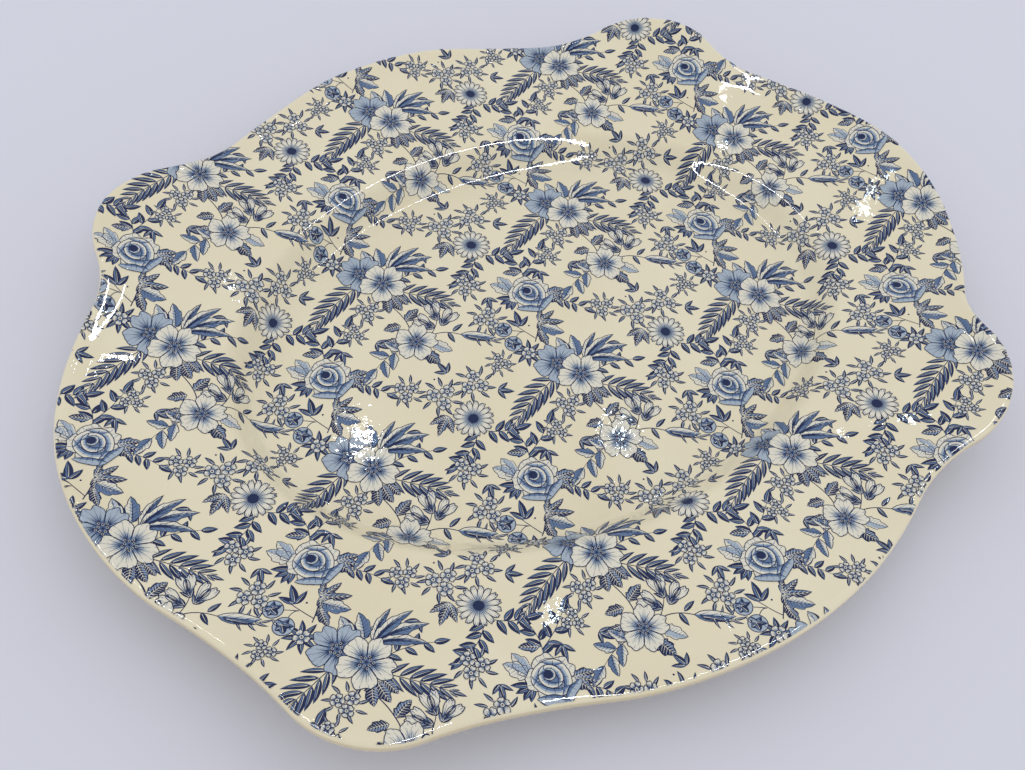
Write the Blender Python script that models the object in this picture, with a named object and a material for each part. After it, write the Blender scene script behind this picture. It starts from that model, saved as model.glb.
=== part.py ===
"""Oval china serving platter with a deep well and four lifted corner lobes.

The ware is one press-moulded earthenware body with its own foot ring. A transfer-print
film lies on its face, and clear glaze covers everything but the tread of the foot ring,
so the coat is two separate skins: one outside the tread and one inside it.

Frame: metres, +Z up, +X along the platter, origin on the table under its middle.
"""

import math

import bmesh
import bpy
import numpy as np

MM = 0.001

# Outline, seen from above: four long arcs, four round corners and eight hollow fillets
HALF_LENGTH = 165.0 * MM
HALF_WIDTH = 135.4 * MM
END_ARC_RADIUS = 86.5 * MM
SIDE_ARC_RADIUS = 141.4 * MM
CORNER_RADIUS = 32.4 * MM
CORNER_CENTRE = (95.9 * MM, 80.1 * MM)
CORNER_FILLETS = (28.4 * MM, 56.8 * MM)
# The corner at -X, -Y was fettled down further, so its hollows are shallower
SLACK_CORNER_CENTRE = (103.6 * MM, 78.4 * MM)
SLACK_CORNER_FILLETS = (170.0 * MM, 197.0 * MM)

# Well: an ellipse half-way up its wall
WELL_HALF_LENGTH = 110.0 * MM
WELL_HALF_WIDTH = 80.0 * MM
WALL_WIDTH = 12.0 * MM
WALL_RISE = 9.3 * MM
FLOOR_HEIGHT = 7.0 * MM

# Edge of the rim: its height waves up at the corners and ends, and down beside the corners
EDGE_HEIGHT = 24.2 * MM
END_LIFT, END_SPREAD = 3.1 * MM, math.radians(16)
LOBE_LIFT, LOBE_ANGLE, LOBE_SPREAD = 6.9 * MM, math.radians(38), math.radians(20)
DIP_DROP, DIP_ANGLE, DIP_SPREAD = 3.4 * MM, math.radians(66), math.radians(18)
LIP_WIDTH = 9.0 * MM
LIP_RISE = 1.4 * MM
EDGE_THICKNESS = 4.6 * MM
EDGE_ROUND = 1.5 * MM

# Underside
WALL_THICKNESS = 4.8 * MM
FOOT_INSET = 4.0 * MM
FOOT_WIDTH = 5.0 * MM
FOOT_TAPER = 1.2 * MM
BASE_HEIGHT = FLOOR_HEIGHT - WALL_THICKNESS

# Skins on the body, with the clearance that keeps each one a separate solid
CLEARANCE = 0.10 * MM
PRINT_THICKNESS = 0.10 * MM
GLAZE_THICKNESS = 0.40 * MM

# Steps around the platter
AROUND = 96


def bump(angle, centre, spread):
    """A smooth hill of height 1 at the centre, flat beyond the spread."""
    reach = np.minimum(np.abs(angle - centre) / spread, 1.0)
    return np.cos(reach * math.pi / 2) ** 2


def folded(angle):
    """The angle mirrored into the first quarter, between +X and +Y."""
    turned = np.abs(np.mod(angle + math.pi, 2 * math.pi) - math.pi)
    return np.minimum(turned, math.pi - turned)


def ray_to_circle(angle, centre, radius, far_side):
    """Distance from the origin along a ray to a circle."""
    along = np.cos(angle) * centre[0] + np.sin(angle) * centre[1]
    squared = along**2 - centre[0] ** 2 - centre[1] ** 2 + radius**2
    root = np.sqrt(np.maximum(squared, 0.0))
    return along + root if far_side else along - root


def fillet_centre(first, first_radius, second, second_radius, fillet, side):
    """Centre of the fillet circle that touches two circles from outside."""
    first_reach = first_radius + fillet
    second_reach = second_radius + fillet
    apart = np.subtract(second, first)
    distance = np.hypot(*apart)
    along = (first_reach**2 - second_reach**2 + distance**2) / (2 * distance)
    across = math.sqrt(first_reach**2 - along**2)
    unit = apart / distance
    return first + unit * along + np.array([-unit[1], unit[0]]) * across * side


def touch_angle(centre, radius, fillet):
    """Direction from the origin to where a circle meets its fillet."""
    towards = np.subtract(fillet, centre)
    point = centre + towards / np.hypot(*towards) * radius
    return math.atan2(point[1], point[0])


def quarter_edge_radius(angle, corner, fillets):
    """Distance from the middle to the outline, for angles between +X and +Y."""
    end = np.array([HALF_LENGTH - END_ARC_RADIUS, 0.0])
    side = np.array([0.0, HALF_WIDTH - SIDE_ARC_RADIUS])
    corner = np.array(corner)
    end_fillet, side_fillet = fillets
    by_end = fillet_centre(end, END_ARC_RADIUS, corner, CORNER_RADIUS, end_fillet, -1)
    by_side = fillet_centre(side, SIDE_ARC_RADIUS, corner, CORNER_RADIUS, side_fillet, 1)
    limits = (
        touch_angle(end, END_ARC_RADIUS, by_end),
        touch_angle(corner, CORNER_RADIUS, by_end),
        touch_angle(corner, CORNER_RADIUS, by_side),
        touch_angle(side, SIDE_ARC_RADIUS, by_side),
    )
    stretches = (
        ray_to_circle(angle, end, END_ARC_RADIUS, True),
        ray_to_circle(angle, by_end, end_fillet, False),
        ray_to_circle(angle, corner, CORNER_RADIUS, True),
        ray_to_circle(angle, by_side, side_fillet, False),
        ray_to_circle(angle, side, SIDE_ARC_RADIUS, True),
    )
    return np.choose(np.digitize(angle, limits), stretches)


def edge_radius(angle):
    """Distance from the middle to the outline, in any direction."""
    usual = quarter_edge_radius(folded(angle), CORNER_CENTRE, CORNER_FILLETS)
    slack = quarter_edge_radius(folded(angle), SLACK_CORNER_CENTRE, SLACK_CORNER_FILLETS)
    return np.where((np.cos(angle) < 0) & (np.sin(angle) < 0), slack, usual)


def well_radius(angle):
    return 1 / np.hypot(np.cos(angle) / WELL_HALF_LENGTH, np.sin(angle) / WELL_HALF_WIDTH)


def edge_height(angle):
    quarter = folded(angle)
    return (
        EDGE_HEIGHT
        + END_LIFT * bump(quarter, 0.0, END_SPREAD)
        + LOBE_LIFT * bump(quarter, LOBE_ANGLE, LOBE_SPREAD)
        - DIP_DROP * bump(quarter, DIP_ANGLE, DIP_SPREAD)
    )


def smooth(share):
    share = np.clip(share, 0.0, 1.0)
    return share * share * (3 - 2 * share)


def face_height(radius, angle):
    """Height of the body's face: flat floor, wall of the well, sloping rim, upturned lip."""
    shoulder = well_radius(angle) + WALL_WIDTH / 2
    edge = edge_radius(angle)
    wall = WALL_RISE * smooth((radius - well_radius(angle)) / WALL_WIDTH + 0.5)
    rim_rise = edge_height(angle) - FLOOR_HEIGHT - WALL_RISE - LIP_RISE
    rim = rim_rise * np.clip((radius - shoulder) / (edge - shoulder), 0.0, 1.0)
    lip = LIP_RISE * smooth((radius - edge + LIP_WIDTH) / LIP_WIDTH)
    return FLOOR_HEIGHT + wall + rim + lip


def ring(radius, height, angle):
    return np.stack([radius * np.cos(angle), radius * np.sin(angle), height], axis=-1)


def body_rings():
    """Rings of points from the middle of the face, over the edge, to the middle of the base.

    Returns the rings and the places along them where the skins start and stop.
    """
    angle = np.arange(AROUND) * 2 * math.pi / AROUND
    well = well_radius(angle)
    edge = edge_radius(angle)
    flat = np.zeros(AROUND)
    lip_foot = edge - LIP_WIDTH
    lip_top = edge - EDGE_ROUND
    wall_steps = [well + share * WALL_WIDTH for share in (-0.5, -0.2, 0.2, 0.5)]
    rim_middle = (wall_steps[-1] + lip_foot) / 2

    face = [*wall_steps, rim_middle, lip_foot, lip_top]
    rings = [ring(flat, flat + FLOOR_HEIGHT, angle)]
    rings += [ring(radius, face_height(radius, angle), angle) for radius in face]
    last_printed = len(rings) - 2

    lip_height = face_height(lip_top, angle)
    corner = EDGE_ROUND * (1 - math.sqrt(0.5))
    insets = (corner, 0.0, 0.0, corner, EDGE_ROUND)
    drops = (corner, EDGE_ROUND, EDGE_THICKNESS - EDGE_ROUND, EDGE_THICKNESS - corner, EDGE_THICKNESS)
    for inset, drop in zip(insets, drops):
        rings.append(ring(edge - inset, lip_height - drop, angle))
    for radius in (lip_foot, wall_steps[-1] + WALL_THICKNESS / 2):
        rings.append(ring(radius, face_height(radius, angle) - WALL_THICKNESS, angle))

    tread_outside = well - FOOT_INSET
    tread_inside = tread_outside - FOOT_WIDTH
    rings.append(ring(tread_outside + FOOT_TAPER, flat + BASE_HEIGHT, angle))
    last_outside = len(rings) - 1
    rings.append(ring(tread_outside, flat, angle))
    rings.append(ring(tread_inside, flat, angle))
    rings.append(ring(tread_inside - FOOT_TAPER, flat + BASE_HEIGHT, angle))
    first_inside = len(rings) - 1
    rings.append(ring(flat, flat + BASE_HEIGHT, angle))
    return np.array(rings), last_printed, last_outside, first_inside


def ring_normals(rings):
    """Outward directions at every point of the rings, from the neighbouring points."""
    along = np.gradient(rings, axis=0)
    around = np.roll(rings, -1, axis=1) - np.roll(rings, 1, axis=1)
    normals = np.cross(along, around)
    lengths = np.linalg.norm(normals, axis=-1, keepdims=True)
    normals = normals / np.maximum(lengths, 1e-12)
    normals[0] = (0.0, 0.0, 1.0)
    normals[-1] = (0.0, 0.0, -1.0)
    return normals


def add_skin_faces(mesh, rows, inside_out):
    """Faces between neighbouring rows. A row of one vertex is the middle of a fan."""
    for near, far in zip(rows, rows[1:]):
        for step in range(AROUND):
            following = (step + 1) % AROUND
            corners = [near[step % len(near)], far[step % len(far)]]
            corners += [far[following % len(far)], near[following % len(near)]]
            triangles = [corners[:3], [corners[0], corners[2], corners[3]]]
            for triangle in triangles:
                if len(set(triangle)) < 3:
                    continue
                mesh.faces.new(triangle[::-1] if inside_out else triangle)


def vertex_rows(mesh, rings):
    """Vertices for each ring, and one vertex for a ring that has shrunk to a point."""
    rows = []
    for points in rings:
        is_point = np.ptp(points, axis=0).max() < 1e-9
        rows.append([mesh.verts.new(point) for point in (points[:1] if is_point else points)])
    return rows


def add_object(name, mesh, material):
    data = bpy.data.meshes.new(name)
    bmesh.ops.recalc_face_normals(mesh, faces=mesh.faces)
    mesh.to_mesh(data)
    mesh.free()
    data.materials.append(material)
    data.shade_smooth()
    data.set_sharp_from_angle(angle=math.radians(40))
    made = bpy.data.objects.new(name, data)
    bpy.context.scene.collection.objects.link(made)
    return made


def add_solid(name, rings, material):
    """A closed solid whose rings run from one pole to the other."""
    mesh = bmesh.new()
    add_skin_faces(mesh, vertex_rows(mesh, rings), inside_out=False)
    return add_object(name, mesh, material)


def add_skin(name, rings, normals, inner, thickness, material):
    """A thin closed coat that follows the rings at a distance and covers one of their poles."""
    if np.ptp(rings[-1], axis=0).max() < 1e-9:
        rings = rings[::-1]
        normals = normals[::-1]
    mesh = bmesh.new()
    inside = vertex_rows(mesh, rings + normals * inner)
    outside = vertex_rows(mesh, rings + normals * (inner + thickness))
    add_skin_faces(mesh, outside, inside_out=False)
    add_skin_faces(mesh, inside, inside_out=True)
    add_skin_faces(mesh, [outside[-1], inside[-1]], inside_out=False)
    return add_object(name, mesh, material)


def principled(name, colour, roughness, coat=0.0):
    material = bpy.data.materials.new(name)
    material.use_nodes = True
    shader = material.node_tree.nodes["Principled BSDF"]
    shader.inputs["Base Color"].default_value = (*colour, 1.0)
    shader.inputs["Roughness"].default_value = roughness
    shader.inputs["Metallic"].default_value = 0.0
    shader.inputs["Coat Weight"].default_value = coat
    return material


def build_platter():
    rings, last_printed, last_outside, first_inside = body_rings()
    normals = ring_normals(rings)

    bisque = principled("bisque_earthenware", (0.78, 0.71, 0.56), 0.75)
    ink = principled("cobalt_print", (0.05, 0.09, 0.24), 0.35)
    glaze = principled("clear_glaze", (0.86, 0.80, 0.66), 0.08, coat=1.0)

    add_solid("earthenware_body", rings, bisque)
    printed = slice(0, last_printed + 1)
    add_skin("face_print", rings[printed], normals[printed], CLEARANCE, PRINT_THICKNESS, ink)
    under_glaze = 2 * CLEARANCE + PRINT_THICKNESS
    outside = slice(0, last_outside + 1)
    add_skin("outer_glaze", rings[outside], normals[outside], under_glaze, GLAZE_THICKNESS, glaze)
    inside = slice(first_inside, None)
    add_skin("base_glaze", rings[inside], normals[inside], under_glaze, GLAZE_THICKNESS, glaze)


def clear_scene():
    for existing in list(bpy.data.objects):
        bpy.data.objects.remove(existing, do_unlink=True)


clear_scene()
build_platter()
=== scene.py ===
"""Looks of the china serving platter: fine glazed surfaces and a floral transfer print.

The print is drawn flat, in millimetres, as one repeat of a pattern. The repeat is tiled, laid
over the face as a sheet that follows the surface, and cut off a little inside the edge.
"""

import math

import bpy
import numpy as np
from mathutils import Matrix, Vector
from mathutils.geometry import tessellate_polygon


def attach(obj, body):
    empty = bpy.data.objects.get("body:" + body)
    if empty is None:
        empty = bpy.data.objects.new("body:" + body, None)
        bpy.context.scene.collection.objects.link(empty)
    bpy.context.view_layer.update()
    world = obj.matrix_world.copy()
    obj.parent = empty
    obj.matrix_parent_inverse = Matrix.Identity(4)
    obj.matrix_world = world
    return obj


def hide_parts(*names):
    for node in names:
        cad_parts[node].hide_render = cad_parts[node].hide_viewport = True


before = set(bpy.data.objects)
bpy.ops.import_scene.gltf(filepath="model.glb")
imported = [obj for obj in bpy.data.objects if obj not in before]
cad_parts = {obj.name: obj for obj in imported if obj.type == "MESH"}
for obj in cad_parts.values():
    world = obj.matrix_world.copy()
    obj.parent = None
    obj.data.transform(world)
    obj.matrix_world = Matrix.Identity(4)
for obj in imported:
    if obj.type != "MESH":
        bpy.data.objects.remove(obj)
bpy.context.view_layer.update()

MM = 0.001

# ---- shape of the ware
# These sizes are the CAD model's own.
HALF_LENGTH = 165.0 * MM
HALF_WIDTH = 135.4 * MM
END_ARC_RADIUS = 86.5 * MM
SIDE_ARC_RADIUS = 141.4 * MM
CORNER_RADIUS = 32.4 * MM
CORNER_CENTRE = (95.9 * MM, 80.1 * MM)
CORNER_FILLETS = (28.4 * MM, 56.8 * MM)
SLACK_CORNER_CENTRE = (103.6 * MM, 78.4 * MM)
SLACK_CORNER_FILLETS = (170.0 * MM, 197.0 * MM)

WELL_HALF_LENGTH = 110.0 * MM
WELL_HALF_WIDTH = 80.0 * MM
WALL_WIDTH = 12.0 * MM
WALL_RISE = 9.3 * MM
FLOOR_HEIGHT = 7.0 * MM

EDGE_HEIGHT = 24.2 * MM
END_LIFT, END_SPREAD = 3.1 * MM, math.radians(16)
LOBE_LIFT, LOBE_ANGLE, LOBE_SPREAD = 6.9 * MM, math.radians(38), math.radians(20)
DIP_DROP, DIP_ANGLE, DIP_SPREAD = 3.4 * MM, math.radians(66), math.radians(18)
LIP_WIDTH = 9.0 * MM
LIP_RISE = 1.4 * MM
EDGE_THICKNESS = 4.6 * MM
EDGE_ROUND = 1.5 * MM

WALL_THICKNESS = 4.8 * MM
FOOT_INSET = 4.0 * MM
FOOT_WIDTH = 5.0 * MM
FOOT_TAPER = 1.2 * MM
BASE_HEIGHT = FLOOR_HEIGHT - WALL_THICKNESS

# Bottom and top of the clear glaze, measured from the body
GLAZE_UNDERSIDE = 0.30 * MM
GLAZE_TOP = 0.70 * MM

# Steps around the ware, and along its section: short where it curves, long where it is flat
AROUND = 480
FINE_STEP = 0.4 * MM
RIM_STEP = 4 * FINE_STEP
UNDERSIDE_STEP = 2 * MM
FLOOR_STEP = 12 * MM
SHOULDER_STEPS = 15
EDGE_DEGREES = 15
TREAD_ROUND = 0.4 * MM
# The hidden side of the glaze keeps every third ring
HIDDEN_RINGS = 3
# A ring smaller than this is one point
POINT_SIZE = 1e-9


def bump(angle, centre, spread):
    """A smooth hill of height 1 at the centre, flat beyond the spread."""
    reach = np.minimum(np.abs(angle - centre) / spread, 1.0)
    return np.cos(reach * math.pi / 2) ** 2


def folded(angle):
    """The angle mirrored into the first quarter, between +X and +Y."""
    turned = np.abs(np.mod(angle + math.pi, 2 * math.pi) - math.pi)
    return np.minimum(turned, math.pi - turned)


def ray_to_circle(angle, centre, radius, far_side):
    """Distance from the origin along a ray to a circle."""
    along = np.cos(angle) * centre[0] + np.sin(angle) * centre[1]
    squared = along**2 - centre[0] ** 2 - centre[1] ** 2 + radius**2
    root = np.sqrt(np.maximum(squared, 0.0))
    return along + root if far_side else along - root


def fillet_centre(first, first_radius, second, second_radius, fillet, side):
    """Centre of the fillet circle that touches two circles from outside."""
    first_reach = first_radius + fillet
    second_reach = second_radius + fillet
    apart = np.subtract(second, first)
    distance = np.hypot(*apart)
    along = (first_reach**2 - second_reach**2 + distance**2) / (2 * distance)
    across = math.sqrt(first_reach**2 - along**2)
    unit = apart / distance
    return first + unit * along + np.array([-unit[1], unit[0]]) * across * side


def touch_angle(centre, radius, fillet):
    """Direction from the origin to where a circle meets its fillet."""
    towards = np.subtract(fillet, centre)
    point = centre + towards / np.hypot(*towards) * radius
    return math.atan2(point[1], point[0])


def quarter_edge_radius(angle, corner, fillets):
    """Distance from the middle to the outline, for angles between +X and +Y."""
    end = np.array([HALF_LENGTH - END_ARC_RADIUS, 0.0])
    side = np.array([0.0, HALF_WIDTH - SIDE_ARC_RADIUS])
    corner = np.array(corner)
    end_fillet, side_fillet = fillets
    by_end = fillet_centre(end, END_ARC_RADIUS, corner, CORNER_RADIUS, end_fillet, -1)
    by_side = fillet_centre(side, SIDE_ARC_RADIUS, corner, CORNER_RADIUS, side_fillet, 1)
    limits = (
        touch_angle(end, END_ARC_RADIUS, by_end),
        touch_angle(corner, CORNER_RADIUS, by_end),
        touch_angle(corner, CORNER_RADIUS, by_side),
        touch_angle(side, SIDE_ARC_RADIUS, by_side),
    )
    stretches = (
        ray_to_circle(angle, end, END_ARC_RADIUS, True),
        ray_to_circle(angle, by_end, end_fillet, False),
        ray_to_circle(angle, corner, CORNER_RADIUS, True),
        ray_to_circle(angle, by_side, side_fillet, False),
        ray_to_circle(angle, side, SIDE_ARC_RADIUS, True),
    )
    return np.choose(np.digitize(angle, limits), stretches)


def edge_radius(angle):
    """Distance from the middle to the outline, in any direction."""
    usual = quarter_edge_radius(folded(angle), CORNER_CENTRE, CORNER_FILLETS)
    slack = quarter_edge_radius(folded(angle), SLACK_CORNER_CENTRE, SLACK_CORNER_FILLETS)
    return np.where((np.cos(angle) < 0) & (np.sin(angle) < 0), slack, usual)


def well_radius(angle):
    """Distance from the middle to half-way up the wall of the well."""
    return 1 / np.hypot(np.cos(angle) / WELL_HALF_LENGTH, np.sin(angle) / WELL_HALF_WIDTH)


def edge_height(angle):
    """Height of the top of the edge, which waves up and down around the ware."""
    quarter = folded(angle)
    return (
        EDGE_HEIGHT
        + END_LIFT * bump(quarter, 0.0, END_SPREAD)
        + LOBE_LIFT * bump(quarter, LOBE_ANGLE, LOBE_SPREAD)
        - DIP_DROP * bump(quarter, DIP_ANGLE, DIP_SPREAD)
    )


def smooth(share):
    """A ramp from 0 to 1 that starts and ends level."""
    share = np.clip(share, 0.0, 1.0)
    return share * share * (3 - 2 * share)


def face_height(radius, angle):
    """Height of the body's face: flat floor, wall of the well, sloping rim, upturned lip."""
    shoulder = well_radius(angle) + WALL_WIDTH / 2
    edge = edge_radius(angle)
    wall = WALL_RISE * smooth((radius - well_radius(angle)) / WALL_WIDTH + 0.5)
    rim_rise = edge_height(angle) - FLOOR_HEIGHT - WALL_RISE - LIP_RISE
    rim = rim_rise * np.clip((radius - shoulder) / (edge - shoulder), 0.0, 1.0)
    lip = LIP_RISE * smooth((radius - edge + LIP_WIDTH) / LIP_WIDTH)
    return FLOOR_HEIGHT + wall + rim + lip


def ring(radius, height, angle):
    return np.stack([radius * np.cos(angle), radius * np.sin(angle), height], axis=-1)


def steps(start, end, step):
    """Rows between two rows, about a step apart where they are furthest apart."""
    count = max(int(np.max(np.abs(end - start)) / step), 1)
    return [start + (end - start) * share / count for share in range(count)]


def face_rings(well, edge, angle):
    """Rings from the middle of the floor to the top of the lip."""
    wall_foot = well - WALL_WIDTH / 2 - FINE_STEP
    wall_top = well + WALL_WIDTH / 2 + 2 * FINE_STEP
    lip_foot = edge - LIP_WIDTH - FINE_STEP
    radii = steps(np.zeros(AROUND), wall_foot, FLOOR_STEP)
    radii += steps(wall_foot, wall_top, FINE_STEP)
    radii += steps(wall_top, lip_foot, RIM_STEP)
    radii += steps(lip_foot, edge - EDGE_ROUND, FINE_STEP)
    return [ring(radius, face_height(radius, angle), angle) for radius in radii]


def edge_rings(edge, angle):
    """Rings around the edge: a rounding, an upright band and a second rounding."""
    lip_top = edge - EDGE_ROUND
    lip_height = face_height(lip_top, angle)
    rings = []
    for turn in np.radians(np.arange(90, -91, -EDGE_DEGREES)):
        band = EDGE_THICKNESS - 2 * EDGE_ROUND if turn < 0 else 0.0
        radius = lip_top + EDGE_ROUND * math.cos(turn)
        height = lip_height - EDGE_ROUND * (1 - math.sin(turn)) - band
        rings.append(ring(radius, height, angle))
    return rings


def back_rings(well, edge, angle):
    """Rings along the underside, from the lip to the outside of the foot ring."""
    shoulder = well + WALL_WIDTH / 2 + WALL_THICKNESS / 2
    rings = [
        ring(radius, face_height(radius, angle) - WALL_THICKNESS, angle)
        for radius in steps(edge - LIP_WIDTH, shoulder, UNDERSIDE_STEP)
    ]
    foot_top = well - FOOT_INSET + FOOT_TAPER
    shoulder_height = face_height(shoulder, angle) - WALL_THICKNESS
    for share in np.linspace(0, 1, SHOULDER_STEPS + 1):
        radius = shoulder + (foot_top - shoulder) * share
        height = BASE_HEIGHT + (shoulder_height - BASE_HEIGHT) * smooth(1 - share)
        rings.append(ring(radius, height, angle))
    return rings


def tread_rings(well, angle):
    """Rings over the flat tread of the foot ring and its rounded corners."""
    flat = np.zeros(AROUND)
    outside = well - FOOT_INSET
    inside = outside - FOOT_WIDTH
    return [
        ring(outside, flat + TREAD_ROUND, angle),
        ring(outside - TREAD_ROUND, flat, angle),
        ring(inside + TREAD_ROUND, flat, angle),
        ring(inside, flat + TREAD_ROUND, angle),
    ]


def base_rings(well, angle):
    """Rings from the inside of the foot ring to the middle of the base."""
    height = np.full(AROUND, BASE_HEIGHT)
    outermost = well - FOOT_INSET - FOOT_WIDTH - FOOT_TAPER
    return [ring(outermost * share, height, angle) for share in (1.0, 0.98, 0.8, 0.6, 0.4, 0.2, 0.0)]


def body_rings():
    """Rings of points from the middle of the face, over the edge, to the middle of the base.

    Returns the rings and the places along them where the glaze stops and starts again.
    """
    angle = np.arange(AROUND) * 2 * math.pi / AROUND
    well = well_radius(angle)
    edge = edge_radius(angle)
    glazed = face_rings(well, edge, angle) + edge_rings(edge, angle) + back_rings(well, edge, angle)
    tread = tread_rings(well, angle)
    rings = glazed + tread + base_rings(well, angle)
    return np.array(rings), len(glazed) - 1, len(glazed) + len(tread)


def ring_normals(rings):
    """Outward directions at every point of the rings, from the neighbouring points."""
    along = np.gradient(rings, axis=0)
    around = np.roll(rings, -1, axis=1) - np.roll(rings, 1, axis=1)
    normals = np.cross(along, around)
    lengths = np.linalg.norm(normals, axis=-1, keepdims=True)
    normals /= np.maximum(lengths, np.finfo(float).tiny)
    normals[0] = (0.0, 0.0, 1.0)
    normals[-1] = (0.0, 0.0, -1.0)
    return normals


def is_point(row):
    return np.ptp(row, axis=0).max() < POINT_SIZE


def strip_faces(near, far):
    """Quads between two rings of vertex numbers, or triangles to a ring of one vertex."""
    following_near = np.roll(near, -1)
    following_far = np.roll(far, -1)
    if len(near) == 1:
        return [[near[0], a, b] for a, b in zip(far, following_far)]
    if len(far) == 1:
        return [[a, far[0], b] for a, b in zip(near, following_near)]
    return np.stack([near, far, following_far, following_near], axis=1).tolist()


def add_piece(name, points, faces, material, replaced):
    """A piece that rides on the platter's one body and is shown instead of a CAD node."""
    data = bpy.data.meshes.new(name)
    data.from_pydata(points, [], faces)
    data.validate()
    data.materials.append(material)
    data.shade_smooth()
    piece = bpy.data.objects.new(name, data)
    bpy.context.scene.collection.objects.link(piece)
    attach(piece, "root")
    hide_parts(replaced)
    return piece


def add_rings(name, rings, material, replaced):
    """A closed surface through rings, where a ring that has shrunk to a point is one vertex."""
    points = []
    rows = []
    for row in rings:
        kept = row[:1] if is_point(row) else row
        rows.append(np.arange(len(kept)) + len(points))
        points.extend(kept.tolist())
    faces = []
    for near, far in zip(rows, rows[1:]):
        faces.extend(strip_faces(near, far))
    return add_piece(name, points, faces, material, replaced)


def add_coat(name, rings, normals, material, replaced):
    """A closed coat of glaze over rings that start or end in a point."""
    outside = rings + normals * GLAZE_TOP
    inside = rings + normals * GLAZE_UNDERSIDE
    if is_point(rings[-1]):
        return add_rings(name, [*inside[::-1], *outside], material, replaced)
    hidden = [*inside[:0:-HIDDEN_RINGS], inside[0]]
    return add_rings(name, [*outside, *hidden], material, replaced)


# ---- drawing the print
# A shape is (ink, level, points, triangles). Points are in millimetres on the flat sheet, and a
# shape on a higher level lies over the lower ones.
RESERVE, WASH, BLUE, NAVY, LINE = range(5)
# Widths of lines, in millimetres. An engraved line tapers from its start to its end.
OUTLINE = 0.26
HAIRLINE = 0.16
ENGRAVED = (0.2, 0.04)


def fill(ink, level, outline):
    """The inside of an outline."""
    outline = np.asarray(outline, float)
    corners = [Vector((x, y, 0.0)) for x, y in outline]
    return (ink, level, outline, np.array(tessellate_polygon([corners]), int).reshape(-1, 3))


def stroke(ink, level, path, start_width, end_width=None, middle_width=None):
    """A line whose width runs from the start, by the middle, to the end."""
    path = np.asarray(path, float)
    end_width = start_width if end_width is None else end_width
    middle_width = (start_width + end_width) / 2 if middle_width is None else middle_width
    share = np.linspace(0, 1, len(path))
    width = np.interp(share, (0, 0.5, 1), (start_width, middle_width, end_width))
    across = side_directions(path) * width[:, None] / 2
    points = np.concatenate([path + across, path - across])
    one = np.arange(len(path) - 1)
    other = one + len(path)
    near_half = np.stack([one, other, one + 1], axis=1)
    far_half = np.stack([one + 1, other, other + 1], axis=1)
    return (ink, level, points, np.concatenate([near_half, far_half]))


def side_directions(path):
    """Unit vectors to the left of each point of a path."""
    along = np.gradient(path, axis=0)
    along /= np.maximum(np.hypot(along[:, 0], along[:, 1]), 1e-9)[:, None]
    return np.stack([-along[:, 1], along[:, 0]], axis=1)


def curve(start, control, end, count=12):
    """Points on a parabola that leaves the start and meets the end on lines to the control point."""
    share = np.linspace(0, 1, count)[:, None]
    start, control, end = (np.asarray(point, float) for point in (start, control, end))
    return start * (1 - share) ** 2 + control * 2 * share * (1 - share) + end * share**2


def circle(centre, radius, count):
    """Points evenly round a circle."""
    angle = np.arange(count) * 2 * math.pi / count
    return np.stack([centre[0] + radius * np.cos(angle), centre[1] + radius * np.sin(angle)], 1)


def moved(shapes, at, turn=0.0, scale=1.0, flip=False, raised=0):
    """Copies of shapes, scaled, turned by degrees and put at a point."""
    turn = math.radians(turn)
    turned = scale * np.array([[math.cos(turn), math.sin(turn)], [-math.sin(turn), math.cos(turn)]])
    mirror = np.array([1.0, -1.0 if flip else 1.0])
    return [
        (ink, level + raised, (points * mirror) @ turned + np.asarray(at, float), triangles)
        for ink, level, points, triangles in shapes
    ]


def polar(radius, degrees):
    """The point at a distance and a direction from the origin."""
    return radius * np.array([math.cos(math.radians(degrees)), math.sin(math.radians(degrees))])


def leaf(length, width, bend=0.12, style="dark", teeth=0):
    """A leaf from the origin along +X: dark, shaded or open. Levels 0 to 3."""
    share = np.linspace(0, 1, 9 + 3 * teeth)
    spine = np.stack([length * share, bend * length * share**2], axis=1)
    half = width / 2 * np.sin(math.pi * share**0.8) ** 0.85
    if teeth:
        half = half * (0.82 + 0.36 * np.mod(share * teeth, 1.0) * (share < 0.93))
    across = side_directions(spine) * half[:, None]
    outline = np.concatenate([spine + across, (spine - across)[::-1][1:-1]])
    closed = np.concatenate([outline, outline[:1]])
    rib = spine[1:-2]
    if style == "dark":
        shapes = [fill(NAVY, 0, outline)]
        shapes.append(fill(BLUE, 1, sliver(spine, across, 0.3, 0.7)))
        shapes.append(stroke(RESERVE, 2, rib, 0.2, 0.05))
        if teeth:
            shapes += leaf_veins(spine, across, RESERVE, 2)
    elif style == "shaded":
        shapes = [fill(WASH, 0, outline), fill(BLUE, 1, sliver(spine, across, 0.0, -0.9))]
        shapes.append(fill(RESERVE, 1, sliver(spine, across, 0.35, 0.9)))
        shapes.append(stroke(LINE, 3, closed, 0.26, 0.2))
        shapes.append(stroke(LINE, 3, rib, 0.3, 0.1))
        shapes += leaf_veins(spine, across, NAVY, 2)
    else:
        shapes = [fill(RESERVE, 0, outline), fill(WASH, 1, sliver(spine, across, 0.0, -0.8))]
        shapes.append(stroke(LINE, 3, closed, 0.24, 0.18))
        shapes.append(stroke(LINE, 3, rib, 0.24, 0.08))
        shapes += leaf_veins(spine, across, BLUE, 2)
    return shapes


def sliver(spine, across, near, far):
    """A crescent between two shares of a leaf's half width."""
    inner = spine[1:-1] + across[1:-1] * near
    outer = spine[1:-1] + across[1:-1] * far
    return np.concatenate([spine[:1], outer, spine[-1:], inner[::-1]])


def leaf_veins(spine, across, ink, level):
    """Side veins that slant forward from the rib."""
    veins = []
    last = len(spine) - 1
    for place in range(1, last - 1, 2):
        ahead = min(place + 2, last)
        for side in (0.8, -0.8):
            vein = [spine[place], spine[ahead] + across[ahead] * side]
            veins.append(stroke(ink, level, vein, 0.17, 0.05))
    return veins


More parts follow.
